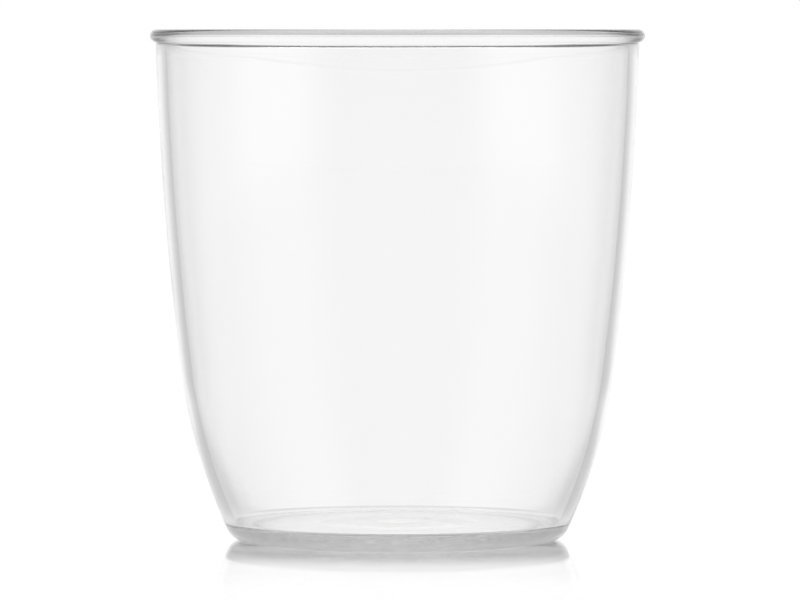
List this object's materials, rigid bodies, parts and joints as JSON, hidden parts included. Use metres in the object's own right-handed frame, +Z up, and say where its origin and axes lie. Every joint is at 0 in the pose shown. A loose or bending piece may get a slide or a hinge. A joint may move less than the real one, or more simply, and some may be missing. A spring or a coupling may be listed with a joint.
{
  "type": "plastic tumbler cup",
  "caption": "Clear rigid plastic drinking tumbler with a rounded, flared wall, a beaded rim and a thick floor on a raised foot ring.",
  "frame": {"origin": "centre of the base, on the plane that the foot ring stands on", "axes": "+Z up along the cup's axis towards the rim; the cup is the same all round, so +X and +Y may point anywhere"},
  "size_m": [0.09, 0.09, 0.093],
  "materials": {
    "clear_plastic": "gloss"
  },
  "bodies": {
    "root": {"tumbler": "clear_plastic"}
  },
  "joints": []
}
